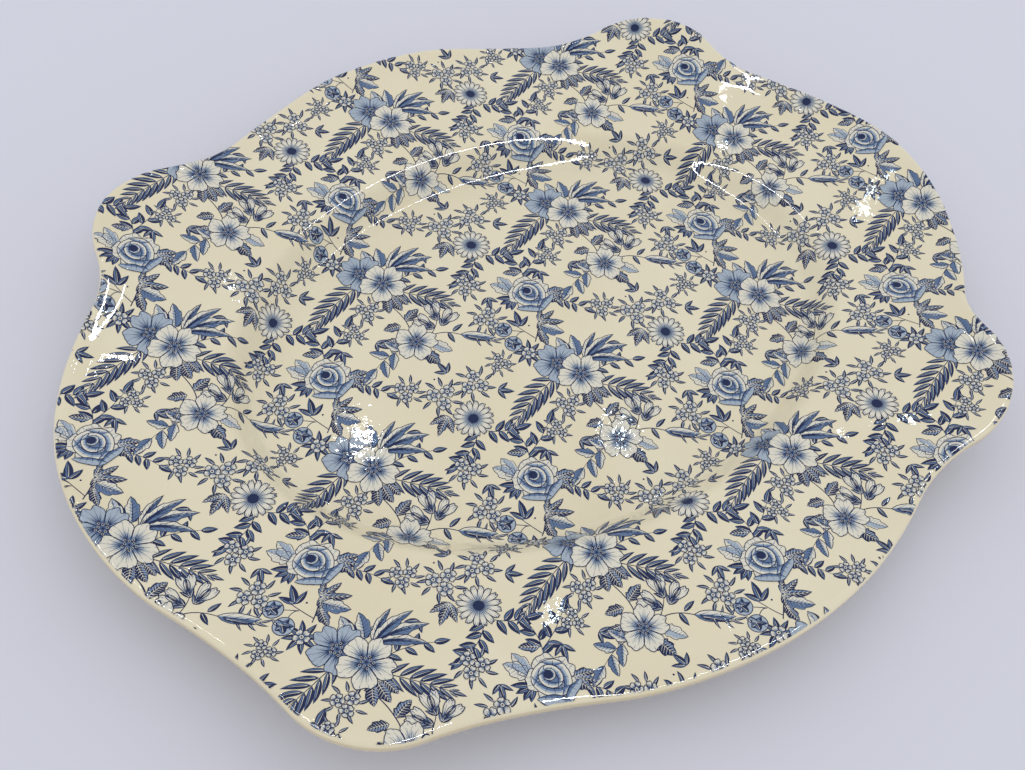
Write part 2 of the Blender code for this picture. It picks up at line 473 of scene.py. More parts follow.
def feathers(length, spread, reach, count):
    """The spiky fan of engraved lines that shades a petal from its base outwards."""
    share = np.linspace(-1, 1, 2 * count + 1)
    angle = np.radians(spread) * share
    spikes = np.where(np.arange(len(share)) % 2, 1.0, 0.5)
    radius = length * reach * spikes * (1 - 0.35 * share**2)
    tips = np.stack([radius * np.cos(angle), radius * np.sin(angle)], axis=1)
    return np.concatenate([[(0.0, 0.0)], tips])


def petal(length, spread, notch, veins, shade, lean=0.0, ground=RESERVE):
    """A petal from the origin along +X, notched at its tip. Levels 0 to 4.

    The spread is half its angle in degrees, and the shade is how far its feathers reach.
    """
    reach = np.linspace(-1, 1, 7 + 2 * round(length))
    angle = np.radians(spread) * reach
    rounded = (1 - np.abs(reach) ** 3.2) ** 0.42
    waves = 0.035 * np.cos(reach * 11 + lean)
    tip = 1 - notch * np.exp(-((reach - 0.3 * lean) / 0.16) ** 2) - waves
    radius = length * rounded * tip
    outline = np.stack([radius * np.cos(angle), radius * np.sin(angle)], axis=1)
    shapes = [fill(ground, 0, outline)]
    shapes.append(fill(WASH, 1, feathers(length, spread * 0.92, shade, veins + 1)))
    shapes.append(fill(BLUE, 2, feathers(length, spread * 0.85, shade * 0.72, veins)))
    shapes.append(fill(NAVY, 3, feathers(length, spread * 0.7, shade * 0.4, 4)))
    for number in range(veins):
        across = (number + 0.5) / veins * 2 - 1
        vein_reach = (0.56 + 0.26 * (number % 2)) * np.interp(across, reach, rounded)
        path = [
            polar(length * (0.2 + (vein_reach - 0.2) * share), spread * 0.8 * across * share**0.3)
            for share in (0.0, 0.4, 1.0)
        ]
        shapes.append(stroke(LINE, 4, path, *ENGRAVED))
    for side in (-0.55, -0.2, 0.25, 0.55):
        tick = [polar(length * share, spread * side) for share in (0.95, 0.8)]
        shapes.append(stroke(BLUE, 4, tick, *ENGRAVED))
    shapes.append(stroke(LINE, 4, outline, 0.2, 0.2, OUTLINE))
    return shapes


def petals(count, turn, **petal_sizes):
    """A ring of petals, every other one a level higher."""
    shapes = []
    for number in range(count):
        one = petal(lean=math.sin(2.3 * number), **petal_sizes)
        shapes += moved(one, (0, 0), turn + number * 360 / count, raised=number % 2)
    return shapes


def stamens(radius, count, level):
    """The dotted heart of a flower. Three levels."""
    shapes = [fill(BLUE, level, circle((0, 0), radius * 0.55, 14))]
    for number in range(count):
        angle = 360 * number / count
        reach = radius * (1.0 if number % 2 else 0.66)
        shapes.append(stroke(LINE, level + 1, [polar(radius * 0.2, angle), polar(reach, angle)], 0.14))
        shapes.append(fill(RESERVE, level + 1, circle(polar(reach, angle), radius * 0.2, 7)))
        shapes.append(fill(NAVY, level + 2, circle(polar(reach, angle), radius * 0.15, 7)))
    return shapes + [fill(NAVY, level + 2, circle((0, 0), radius * 0.2, 8))]


def open_flower(radius, turn, shade, veins, ground=RESERVE):
    """Five broad petals round a dotted heart. Levels 0 to 8."""
    sizes = {"length": radius, "spread": 41, "notch": 0.1, "veins": veins, "shade": shade}
    return petals(5, turn, ground=ground, **sizes) + stamens(radius * 0.24, 10, 6)


def blossom(radius, turn):
    """A small flower with a plain heart. Levels 0 to 7."""
    shapes = petals(5, turn, length=radius, spread=38, notch=0.08, veins=2, shade=0.85)
    shapes.append(fill(RESERVE, 6, circle((0, 0), radius * 0.24, 8)))
    shapes.append(fill(NAVY, 7, circle((0, 0), radius * 0.13, 6)))
    return shapes


def daisy(radius, turn):
    """Narrow petals round a dark heart. Levels 0 to 6."""
    shapes = petals(16, turn, length=radius, spread=12.5, notch=0.05, veins=1, shade=0.75)
    shapes.append(fill(NAVY, 6, circle((0, 0), radius * 0.25, 18)))
    return shapes


def crescent(radius, start, sweep, thickness, level, ground=RESERVE):
    """A petal wrapped round the origin, shaded along its inner side. Four levels."""
    share = np.linspace(0, 1, 11)
    turn = start + sweep * share
    depth = thickness * np.sin(math.pi * share) ** 0.6
    outer = np.array([polar(radius * (1 + 0.04 * math.cos(7 * s)), t) for s, t in zip(share, turn)])
    inner = np.array([polar(radius - d, t) for d, t in zip(depth, turn)])
    shaded = inner + (outer - inner) * 0.62
    shapes = [fill(ground, level, np.concatenate([outer, inner[::-1][1:-1]]))]
    shapes.append(fill(WASH, level + 1, np.concatenate([shaded, inner[::-1][1:-1]])))
    shaded = inner + (outer - inner) * 0.36
    shapes.append(fill(BLUE, level + 2, np.concatenate([shaded, inner[::-1][1:-1]])))
    for place in range(2, 9, 2):
        line = [inner[place], inner[place] + (outer[place] - inner[place]) * 0.75]
        shapes.append(stroke(LINE, level + 3, line, *ENGRAVED))
    shapes.append(stroke(LINE, level + 3, outer, HAIRLINE, HAIRLINE, OUTLINE))
    shapes.append(stroke(LINE, level + 3, inner, 0.12, 0.12, 0.42))
    return shapes


def rose(radius, turn):
    """Broad petals round wrapped ones that close up to a dark heart. Levels 0 to 19."""
    shapes = petals(5, turn, length=radius, spread=46, notch=0.06, veins=6, shade=0.92)
    rings_of_petals = ((0.76, 0.36, 3, 10), (0.47, 0.27, 2, 75), (0.24, 0.13, 1, 160))
    for layer, (size, thickness, count, start) in enumerate(rings_of_petals):
        middle = (0.0, 0.09 * radius * layer)
        for number in range(count):
            first = turn + start + number * 360 / count
            sweep = 150 + 70 * layer + 20 * number
            level = 6 + 5 * layer + number % 2
            wrapped = crescent(radius * size, first, sweep, radius * thickness, level)
            shapes += moved(wrapped, middle)
        if layer == 0:
            shapes.append(fill(BLUE, 9, circle(middle, radius * 0.42, 16)))
    shapes.append(fill(NAVY, 14, circle(middle, radius * 0.22, 10)))
    for size, start, sweep in ((1.02, 205, 75), (1.06, 262, 70)):
        shapes += crescent(radius * size, start, sweep, radius * 0.36, 11, WASH)
    return shapes


def bud(length, width):
    """A closed flower along +X, cupped by sepals. Levels 0 to 5."""
    shapes = []
    for turn in (-13, 13):
        side = petal(length, 17, notch=0.0, veins=2, shade=0.7)
        shapes += moved(side, (0, 0), turn, scale=width / (0.45 * length))
    shapes += moved(petal(length * 1.03, 13, notch=0.1, veins=2, shade=0.5), (0, 0), raised=1)
    for turn, reach in ((-34, 0.6), (0, 0.5), (34, 0.6)):
        shapes += moved(leaf(length * reach, width * 0.34, 0.15), (0, 0), turn, raised=3)
    return shapes


def long_bud(length, width):
    """A slender bud along +X with a dark streak and loose sepals. Levels 0 to 4."""
    shapes = leaf(length, width, 0.08, "shaded")
    streak = leaf(length * 0.8, width * 0.5, -0.05)
    shapes += moved(streak, (length * 0.12, -width * 0.12), raised=2)
    for share, heading in ((0.45, -75), (0.7, -60), (0.85, -30), (0.95, 5), (0.8, 45), (0.6, 60)):
        shapes += moved(leaf(length * 0.34, width * 0.24, 0.3), (length * share, 0), heading)
    return shapes


def round_bud(radius):
    """A small closed bud with a dark cap, round the origin. Levels 0 to 3."""
    outline = circle((0, 0), radius, 18)
    shapes = [fill(WASH, 0, outline)]
    shapes.append(stroke(LINE, 3, np.concatenate([outline, outline[:1]]), OUTLINE))
    for turn in (-50, 10, 75):
        sepal = leaf(radius * 1.7, radius * 0.8, 0.3)
        shapes += moved(sepal, polar(-radius * 0.85, turn), turn, raised=1)
    return shapes + moved(leaf(radius * 1.2, radius * 0.6, 0.2, "open"), (0, 0), 120)


def fern(length, width, pairs, bend):
    """A frond along +X with slender leaflets on both sides of its rib."""
    rib = curve((0, 0), (length * 0.5, bend * length * 0.2), (length, bend * length), 24)
    rib_shares = np.linspace(0, 1, len(rib))
    rib_heading = math.degrees(math.atan2(rib[-1, 1], rib[-1, 0]))
    shapes = [stroke(LINE, 1, rib, 0.3, 0.15)]
    for number in range(pairs):
        share = (number + 0.6) / pairs
        place = np.array([np.interp(share, rib_shares, rib[:, axis]) for axis in (0, 1)])
        heading = rib_heading * share * 1.4
        leaflet_length = width * (0.66 + 0.5 * math.sin(math.pi * share) - 0.42 * share)
        for side in (1, -1):
            leaflet = leaf(leaflet_length, leaflet_length * 0.235, -0.12 * side)
            direction = heading + side * (50 - 26 * share)
            shapes += moved(leaflet, place + polar(0.25, direction), direction)
    return shapes + moved(leaf(width * 0.5, width * 0.14, 0.0), rib[-1], heading)


def plume(lengths, headings, bend):
    """Long striped leaves with toothed, drooping tips that fan out from the origin."""
    shapes = []
    for number, (length, heading) in enumerate(zip(lengths, headings)):
        blade = leaf(length, length * 0.24, bend, "shaded", teeth=3)
        share = np.linspace(0.04, 0.85, 7)
        for offset in (-0.05, 0.0, 0.045):
            stripe = np.stack([length * share, bend * length * share**2 + offset * length * share], 1)
            blade.append(stroke(LINE, 3, stripe, 0.6, 0.06))
        shapes += moved(blade, (0, 0), heading, raised=2 * (number % 2))
    return shapes


def spray(stem, leaves, style="dark", size=4.2):
    """Leaves along a stem, alternately on its two sides, and one at its tip."""
    shapes = [stroke(LINE, 0, stem, 0.26, 0.14)]
    teeth = 2 if size > 5.5 else 0
    count = len(stem)
    for number in range(leaves):
        place = int((number + 1) / (leaves + 1) * (count - 1))
        along = stem[min(place + 1, count - 1)] - stem[place - 1]
        heading = math.degrees(math.atan2(along[1], along[0]))
        side = 1 if number % 2 else -1
        one = leaf(size, size * 0.45, 0.1 * side, style, teeth)
        shapes += moved(one, stem[place], heading + side * 48)
    along = stem[-1] - stem[-2]
    tip = math.degrees(math.atan2(along[1], along[0]))
    return shapes + moved(leaf(size * 1.15, size * 0.48, 0.05, style, teeth), stem[-1], tip)


def fan(size, turn, headings, teeth=0):
    """Dark leaves that spread from one point, the middle ones longest."""
    shapes = []
    for heading in headings:
        length = size * (1.15 - 0.3 * abs(heading) / 60)
        shapes += moved(leaf(length, length * 0.36, 0.1, teeth=teeth), (0, 0), turn + heading)
    return shapes


def sprig(size, turn):
    """Three small dark leaves."""
    return fan(size, turn, (-48, 0, 48))


def palmate(size, turn):
    """A big dark leaf of five toothed lobes."""
    return fan(size, turn, (-78, -38, 0, 38, 78), teeth=2)


def blossom_cluster(size, turn):
    """Three blossoms that touch, with slender dark leaves between and beyond them."""
    shapes = []
    for heading in (5, 42, 78, 125, 160, 205, 240, 285, 322):
        at = polar(size * 1.5, turn + heading)
        shapes += moved(leaf(size * 1.65, size * 0.52, 0.12), at, turn + heading + 12)
    for number in range(3):
        at = polar(size * 1.08, turn + 120 * number)
        shapes += moved(blossom(size, 40 * number), at, raised=4 + 3 * number)
    return shapes


# ---- one repeat of the print
REPEAT_ALONG = np.array([79.5, -0.8])
REPEAT_ACROSS = np.array([36.0, 65.5])
PRINT_ORIGIN = np.array([0.7, -22.3])


def bouquet():
    """Two open flowers among fronds and leaves. The front flower is at the origin."""
    shapes = moved(fern(27, 8.8, 9, -0.22), (-5.5, 4), 190, flip=True)
    shapes += moved(fern(20, 8.8, 7, -0.1), (2.5, -5), -38)
    shapes += moved(spray(curve((0, 0), (7, 2), (15, 0)), 5, size=4.4), (5, -1), -8)
    shapes += moved(plume((12, 15, 16.5, 15), (58, 34, 12, -10), -0.32), (4.5, 4.5))
    shapes += moved(leaf(7, 4.2, 0.1, teeth=3), (-1.5, -6.5), -118)
    shapes += moved(leaf(7.5, 4.2, 0.1, teeth=3), (0, -6.5), -92)
    shapes += moved(leaf(6.5, 3.6, -0.1, teeth=3), (1.5, -6.5), -66)
    shapes += moved(palmate(8.5, 92), (1.5, 7.5))
    shapes += moved(leaf(10, 4.6, -0.15, "open", teeth=3), (0, 7), 96, raised=1)
    shapes += moved(leaf(9, 4.2, 0.15, "shaded", teeth=3), (3, 7), 66, raised=2)
    shapes += moved(open_flower(8.4, 100, 0.95, 9, WASH), (-5.2, 7.6), raised=6)
    shapes += moved(open_flower(8.6, 22, 0.78, 9), (0, 0), raised=15)
    return shapes


def open_flower_spray():
    """An open flower on a stem, with leaves, a long bud and three small buds."""
    shapes = [stroke(LINE, 0, curve((0, 4), (2.5, 10), (-1.5, 20), 14), 0.36, 0.3)]
    shapes += moved(leaf(6.5, 3.8, 0.1, teeth=3), (-1.5, 8.5), 165)
    shapes += moved(leaf(7.2, 4.0, -0.1, teeth=3), (0.8, 9.5), 28)
    shapes += moved(fan(6.4, 200, (-30, 20), teeth=3), (-5, 4))
    shapes += moved(spray(curve((0, 0), (-6, 1.5), (-13, -2.5)), 4, "shaded", 7.0), (-4, -1))
    shapes += moved(leaf(7.2, 5.0, 0.1, teeth=3), (1.2, -5), -78)
    shapes += moved(leaf(8.0, 4.2, 0.12, "open", teeth=3), (5, -2.5), -62)
    shapes.append(stroke(LINE, 0, curve((5, 0), (11, 0.5), (16, -5)), 0.34, 0.26))
    shapes += moved(leaf(5.0, 1.8, 0.1), (12, -1.5), -95)
    shapes += moved(leaf(5.0, 1.8, -0.1), (13.5, -2.0), 20)
    shapes += moved(long_bud(12.5, 3.8), (15.5, -4.4), -38, raised=1)
    shapes.append(stroke(LINE, 0, curve((6, 0.4), (9, 2), (11, 5), 8), 0.28, 0.22))
    for at, heading in (((8.6, 2.2), 120), ((11, 4.6), 80), ((11, 2.2), 25)):
        shapes += moved(bud(6.2, 3.6), at, heading, raised=1)
    return shapes + moved(open_flower(7.6, 55, 0.78, 7), (0, 0), raised=8)


def rose_spray():
    """A rose with leaves, and a stem with two round buds."""
    shapes = [stroke(LINE, 0, curve((-1, -6), (-2, -12), (-9, -19), 16), 0.4, 0.34)]
    shapes.append(stroke(LINE, 0, curve((-8, -18), (-11, -12), (-13, -6.5)), 0.28, 0.22))
    for at, radius, turn in (((-16.6, -9.4), 3.0, 20), ((-16.4, -16.2), 3.1, -10)):
        shapes.append(stroke(LINE, 0, curve((-10.5, -13.5), (-12.5, -12), at, 8), 0.26, 0.22))
        shapes += moved(round_bud(radius), at, turn, raised=1)
    shapes += moved(sprig(6.2, 70), (-10.6, -10.8))
    shapes += moved(palmate(8.2, -32), (-3.5, -12))
    shapes += moved(leaf(9, 4.6, 0.1, "shaded", teeth=3), (-4, -14), -50, raised=1)
    shapes += moved(leaf(7, 3.6, 0.1, teeth=3), (-5, -15.5), -100)
    for heading, size in ((146, 7.0), (172, 6.2), (200, 6.0), (222, 5.4)):
        shapes += moved(leaf(size, 2.4, 0.1), (-6, 0.5), heading)
    for heading in (122, 92):
        shapes += moved(leaf(8.6, 5.0, 0.1, "open", teeth=3), (-5.5, 3.5), heading)
    for heading, size in ((-4, 8.0), (-30, 8.5), (-56, 7.0)):
        shapes += moved(leaf(size, 4.0, -0.1, teeth=3), (5, -2.5), heading)
    shapes += moved(spray(curve((0, 0), (5, 0), (11, -3)), 6, size=4.4), (7, -6), -32)
    stem = curve((1, 6), (4, 11), (3, 17))
    shapes += spray(stem, 4, size=5.4)
    shapes += spray(curve((2.2, 9), (8, 11), (14, 16)), 4, size=5.4)
    shapes += moved(leaf(6.5, 3.4, 0.1, teeth=2), (2, 10), 150)
    return shapes + moved(rose(8.0, 15), (0, 0), raised=4)


def daisy_spray():
    """A daisy with two leafy stems and a fan of leaves."""
    shapes = moved(spray(curve((0, 0), (-4, -6), (-11, -7.5), 14), 7, size=5.2), (-1, -5))
    shapes += moved(spray(curve((0, 0), (4, -3), (9, -4), 10), 5, size=5.4), (1.5, -6))
    shapes += moved(fan(7.5, 214, (-38, 0, 38), teeth=3), (-7, 5))
    return shapes + moved(daisy(6.9, 8), (0, 0), raised=4)


def repeat_shapes():
    """Everything in one repeat, placed from the bouquet's front flower."""
    shapes = bouquet()
    shapes += moved(open_flower_spray(), (-1.5, -28))
    shapes += moved(rose_spray(), (1.5, 38))
    shapes += moved(daisy_spray(), (-42, 2))
    clusters = (
        ((-47.5, 14.5), 2.6, 20),
        ((-35, 14), 2.5, 70),
        ((-53, -14), 2.4, 100),
        ((-10.5, -8.5), 2.2, 10),
        ((-19, -15), 1.9, 60),
        ((-18, 35.5), 2.5, 45),
        ((-57, 22), 2.2, 0),
        ((-23, 17), 1.9, 80),
    )
    for at, size, turn in clusters:
        shapes += moved(blossom_cluster(size, turn), at)
    sprigs = (
        ((-29, 8), 5.0, 320),
        ((-41.5, 22), 5.0, 95),
        ((-60, 6), 4.8, 200),
        ((-26, -20), 5.0, 250),
        ((-14, -22), 4.6, 300),
        ((-49, -22), 4.8, 250),
    )
    for at, size, turn in sprigs:
        shapes += moved(sprig(size, turn), at)
    star = []
    for heading in range(0, 360, 45):
        star += moved(leaf(5.8, 1.9), (0, 0), heading + 12)
    shapes += moved(star, (-12, 16)) + moved(blossom(2.6, 15), (-12, 16), raised=4)
    for at in ((-31, -10), (20, 17), (-6, 26), (33, 21)):
        shapes.append(fill(NAVY, 0, circle(at, 0.35, 6)))
    return shapes


# ---- laying the sheet on the ware
PRINT_INSET = 0.5 * MM
PRINT_LIFT = 0.03 * MM
LEVEL_LIFT = 0.008 * MM
# Shapes on one level are still told apart, by this share of a level for each step of the cycle
SAME_LEVEL_SHARE = 0.06
SAME_LEVEL_CYCLE = 15
# How far a straight side may stray from the surface, and how far one may cross the cut line
STRAY = 0.014 * MM
CUT_STEP = 0.8 * MM
MOST_HALVINGS = 12

SHEET_ANGLES = 720
SHEET_STEP = 0.25 * MM
SHEET_MARGIN = 12 * MM
SLOPE_STEP = 0.02 * MM
# Triangles with less than half this area, in square metres, are left out
LEAST_AREA = 1e-13

# Half axes, in millimetres, of an oval that holds the whole face, and the repeats that cover it
SHEET_OVAL = (182, 156)
TILES_ALONG = range(-4, 5)
TILES_ACROSS = range(-3, 4)


def printed_height(radius, angle):
    """Height of the body's face, and of the start of the rounding of its edge."""
    over = np.clip(radius - edge_radius(angle) + EDGE_ROUND, 0.0, EDGE_ROUND)
    return face_height(radius, angle) - EDGE_ROUND + np.sqrt(EDGE_ROUND**2 - over**2)


class Sheet:
    """Where each point of the flat sheet lies on the face: it follows the surface outwards."""

    def __init__(self):
        angles = np.linspace(-math.pi, math.pi, SHEET_ANGLES + 1)[:, None]
        radii = np.arange(0, HALF_LENGTH + SHEET_MARGIN, SHEET_STEP / 2)
        limit = edge_radius(angles) - PRINT_INSET
        height = printed_height(np.minimum(radii, limit), angles)
        rise = np.gradient(height, radii, axis=1)
        along = np.cumsum(np.hypot(1.0, rise), axis=1) * (radii[1] - radii[0])
        along -= along[:, :1]
        self.places = np.arange(0, along[:, -1].min(), SHEET_STEP)
        self.radii = np.array([np.interp(self.places, row, radii) for row in along])

    def lay(self, points):
        """Radius and angle on the ware, in metres, of sheet points in millimetres."""
        x, y = points[:, 0] * MM, points[:, 1] * MM
        angle = np.arctan2(y, x)
        place = np.minimum(np.hypot(x, y), self.places[-2])
        row = (angle + math.pi) / (2 * math.pi) * SHEET_ANGLES
        column = place / SHEET_STEP
        low_row, low_column = row.astype(int) % SHEET_ANGLES, column.astype(int)
        row_share, column_share = row - np.floor(row), column - low_column
        near, far = (
            self.radii[line, low_column] * (1 - column_share)
            + self.radii[line, low_column + 1] * column_share
            for line in (low_row, low_row + 1)
        )
        return near * (1 - row_share) + far * row_share, angle


def glaze_points(radius, angle, lift):
    """Points on the top of the glaze over the face, raised by a lift, and their normals."""
    x, y = radius * np.cos(angle), radius * np.sin(angle)

    def height(dx, dy):
        return printed_height(np.hypot(x + dx, y + dy), np.arctan2(y + dy, x + dx))

    slope_x = (height(SLOPE_STEP, 0) - height(-SLOPE_STEP, 0)) / (2 * SLOPE_STEP)
    slope_y = (height(0, SLOPE_STEP) - height(0, -SLOPE_STEP)) / (2 * SLOPE_STEP)
    normals = np.stack([-slope_x, -slope_y, np.ones_like(x)], axis=1)
    normals /= np.linalg.norm(normals, axis=1, keepdims=True)
    body = np.stack([x, y, printed_height(radius, angle)], axis=1)
    return body + normals * (GLAZE_TOP + lift)[:, None], normals


def tiled(shapes):
    """The repeat, copied over the whole face: triangle corners, their levels and their inks."""
    corners = np.concatenate([points[triangles] for _, _, points, triangles in shapes])
    counts = [len(triangles) for _, _, _, triangles in shapes]
    levels = [
        level + SAME_LEVEL_SHARE * (number % SAME_LEVEL_CYCLE)
        for number, (_, level, _, _) in enumerate(shapes)
    ]
    level = np.repeat(levels, counts)
    ink = np.repeat([ink for ink, _, _, _ in shapes], counts)
    tiles = []
    for along in TILES_ALONG:
        for across in TILES_ACROSS:
            offset = PRINT_ORIGIN + REPEAT_ALONG * along + REPEAT_ACROSS * across
            copy = corners + offset
            inside = np.hypot(*(copy.mean(axis=1) / SHEET_OVAL).T) < 1
            tiles.append((copy[inside], level[inside], ink[inside]))
    return [np.concatenate(parts) for parts in zip(*tiles)]


def hand_laid(corners):
    """The corners with small slow drifts, in millimetres, from laying the wet print by hand."""
    x, y = corners[..., 0], corners[..., 1]
    drift_x = 0.9 * np.sin(x / 61 + 1.3) * np.cos(y / 47) + 0.5 * np.sin(y / 29 + 0.4)
    drift_y = 0.8 * np.cos(x / 53 - 0.6) + 0.6 * np.sin(y / 37 + x / 71)
    return corners + np.stack([drift_x, drift_y], axis=-1)


def side_strays(corners, sheet):
    """For each side of each triangle, its worst fault as a multiple of what is allowed."""
    radius, angle = sheet.lay(corners.reshape(-1, 2))
    limit = edge_radius(angle) - PRINT_INSET
    over_cut = (radius - limit).reshape(-1, 3)
    radius = np.minimum(radius, limit)
    height = printed_height(radius, angle).reshape(-1, 3)
    x = (radius * np.cos(angle)).reshape(-1, 3)
    y = (radius * np.sin(angle)).reshape(-1, 3)
    middle_x, middle_y, middle_height = (
        (values + np.roll(values, -1, axis=1)) / 2 for values in (x, y, height)
    )
    middle_radius, middle_angle = np.hypot(middle_x, middle_y), np.arctan2(middle_y, middle_x)
    middle_limit = edge_radius(middle_angle) - PRINT_INSET
    surface = printed_height(np.minimum(middle_radius, middle_limit), middle_angle)
    strays = np.abs(surface - middle_height) / STRAY
    following = np.roll(over_cut, -1, axis=1)
    crossing = np.abs(following - over_cut) / CUT_STEP * (over_cut * following < 0)
    outside = np.all(over_cut > 0, axis=1)
    return np.maximum(strays, crossing) * ~outside[:, None]


def split_long(corners, level, sheet):
    """Halves triangles at their worst side until every side follows the surface."""
    done = []
    for _ in range(MOST_HALVINGS):
        strays = side_strays(corners, sheet)
        worst = strays.argmax(axis=1)
        split = strays.max(axis=1) > 1
        done.append((corners[~split], level[~split]))
        rows = np.arange(len(corners))
        first, second, third = (corners[rows, (worst + turn) % 3] for turn in range(3))
        middle = (first + second) / 2
        one_half = np.stack([first, middle, third], axis=1)[split]
        other_half = np.stack([middle, second, third], axis=1)[split]
        corners = np.concatenate([one_half, other_half])
        level = np.tile(level[split], 2)
    done.append((corners, level))
    return [np.concatenate(parts) for parts in zip(*done)]


def add_print(name, corners, level, sheet, material):
    """One ink of the print: its triangles on the glaze, facing outwards and cut off at the edge."""
    corners, level = split_long(corners, level, sheet)
    keys = np.column_stack([np.round(corners.reshape(-1, 2), 4), np.repeat(level, 3)])
    unique, numbers = np.unique(keys, axis=0, return_inverse=True)
    triangles = numbers.reshape(-1, 3)
    radius, angle = sheet.lay(unique[:, :2])
    limit = edge_radius(angle) - PRINT_INSET
    triangles = triangles[(radius - limit)[triangles].mean(axis=1) < 0]
    lift = PRINT_LIFT + LEVEL_LIFT * unique[:, 2]
    points, normals = glaze_points(np.minimum(radius, limit), angle, lift)

    first, second, third = (points[triangles[:, corner]] for corner in range(3))
    sides = np.cross(second - first, third - first)
    facing = np.einsum("ij,ij->i", sides, normals[triangles[:, 0]])
    triangles = np.where((facing < 0)[:, None], triangles[:, ::-1], triangles)
    triangles = triangles[np.abs(facing) > LEAST_AREA]
    used, triangles = np.unique(triangles, return_inverse=True)
    faces = triangles.reshape(-1, 3).tolist()
    piece = add_piece(name, points[used].tolist(), faces, material, "face_print")
    piece.data.normals_split_custom_set_from_vertices(normals[used].tolist())


# ---- materials
def glossy(name, colour):
    """Fired glaze: a clear coat over the colour, with the slow ripple that breaks up highlights."""
    material = bpy.data.materials.new(name)
    material.use_nodes = True
    nodes, links = material.node_tree.nodes, material.node_tree.links
    shader = nodes["Principled BSDF"]
    shader.inputs["Base Color"].default_value = (*colour, 1.0)
    shader.inputs["Roughness"].default_value = 0.35
    shader.inputs["Specular IOR Level"].default_value = 0.0
    shader.inputs["Coat Weight"].default_value = 1.0
    shader.inputs["Coat Roughness"].default_value = 0.03
    shader.inputs["Coat IOR"].default_value = 1.33
    place = nodes.new("ShaderNodeTexCoord")
    noise = nodes.new("ShaderNodeTexNoise")
    noise.inputs["Scale"].default_value = 130.0
    noise.inputs["Detail"].default_value = 3.0
    links.new(place.outputs["Object"], noise.inputs["Vector"])
    relief = nodes.new("ShaderNodeBump")
    relief.inputs["Strength"].default_value = 0.22
    relief.inputs["Distance"].default_value = 0.5 * MM
    links.new(noise.outputs["Fac"], relief.inputs["Height"])
    links.new(relief.outputs["Normal"], shader.inputs["Normal"])
    links.new(relief.outputs["Normal"], shader.inputs["Coat Normal"])
    return material


def mottled(material, pale, deep, scale):
    """Gives a material a base colour that wanders between two tones."""
    nodes, links = material.node_tree.nodes, material.node_tree.links
    place = nodes.new("ShaderNodeTexCoord")
    noise = nodes.new("ShaderNodeTexNoise")
    noise.inputs["Scale"].default_value = scale
    noise.inputs["Detail"].default_value = 4.0
    ramp = nodes.new("ShaderNodeValToRGB")
    ramp.color_ramp.elements[0].position = 0.3
    ramp.color_ramp.elements[0].color = (*deep, 1.0)
    ramp.color_ramp.elements[1].position = 0.7
    ramp.color_ramp.elements[1].color = (*pale, 1.0)
    links.new(place.outputs["Object"], noise.inputs["Vector"])
    links.new(noise.outputs["Fac"], ramp.inputs["Fac"])
    links.new(ramp.outputs["Color"], nodes["Principled BSDF"].inputs["Base Color"])


def paint_shade_by_tilt(material, colour):
    """Paints shade into the base colour: a deeper one where the surface stands upright or faces down.
    """
    nodes, links = material.node_tree.nodes, material.node_tree.links
    target = nodes["Principled BSDF"].inputs["Base Color"]
    face_colour = target.links[0].from_socket
    geometry = nodes.new("ShaderNodeNewGeometry")
    split = nodes.new("ShaderNodeSeparateXYZ")
    share = nodes.new("ShaderNodeMapRange")
    share.inputs["From Min"].default_value = 0.55
    share.inputs["From Max"].default_value = 0.2
    mix = nodes.new("ShaderNodeMixRGB")
    mix.inputs["Color2"].default_value = (*colour, 1.0)
    links.new(geometry.outputs["Normal"], split.inputs["Vector"])
    links.new(split.outputs["Z"], share.inputs["Value"])
    links.new(share.outputs["Result"], mix.inputs["Fac"])
    links.new(face_colour, mix.inputs["Color1"])
    links.new(mix.outputs["Color"], target)


def matt(name, colour, roughness):
    material = bpy.data.materials.new(name)
    material.use_nodes = True
    shader = material.node_tree.nodes["Principled BSDF"]
    shader.inputs["Base Color"].default_value = (*colour, 1.0)
    shader.inputs["Roughness"].default_value = roughness
    return material


# ---- the pieces
PALE_CREAM, DEEP_CREAM = (0.775, 0.70, 0.51), (0.735, 0.655, 0.455)
# Painted shade: the deeper cream mixed into the glaze where it stands upright or faces down
PAINTED_SHADE_CREAM = (0.63, 0.53, 0.34)
PALE_BISQUE, DEEP_BISQUE = (0.80, 0.73, 0.58), (0.70, 0.62, 0.46)
# Scales of the noise that wanders between the pale tone and the deep one
CREAM_MOTTLE = 28.0
BISQUE_MOTTLE = 220.0
PAPER = (0.63, 0.63, 0.69)
# The darkest ink is two pieces, one for its filled shapes and one for its lines
INK_COLOURS = {
    RESERVE: ("print_reserved_petals", (0.71, 0.67, 0.55)),
    WASH: ("print_pale_wash", (0.36, 0.42, 0.48)),
    BLUE: ("print_mid_blue", (0.105, 0.165, 0.285)),
    NAVY: ("print_deep_cobalt", (0.006, 0.016, 0.066)),
    LINE: ("print_cobalt_lines", (0.006, 0.016, 0.066)),
}


def build_ware():
    """The fired body and its two coats of glaze, which leave the tread of the foot ring bare."""
    rings, last_outside, first_inside = body_rings()
    normals = ring_normals(rings)
    bisque = matt("bisque", PALE_BISQUE, 0.8)
    mottled(bisque, PALE_BISQUE, DEEP_BISQUE, BISQUE_MOTTLE)
    glaze = glossy("cream_glaze", PALE_CREAM)
    mottled(glaze, PALE_CREAM, DEEP_CREAM, CREAM_MOTTLE)
    # Paints shade into the glaze colour where the surface stands upright or faces down
    paint_shade_by_tilt(glaze, PAINTED_SHADE_CREAM)
    add_rings("fired_body", rings, bisque, "earthenware_body")
    outside = slice(0, last_outside + 1)
    inside = slice(first_inside, None)
    add_coat("glaze_coat", rings[outside], normals[outside], glaze, "outer_glaze")
    add_coat("base_glaze_coat", rings[inside], normals[inside], glaze, "base_glaze")


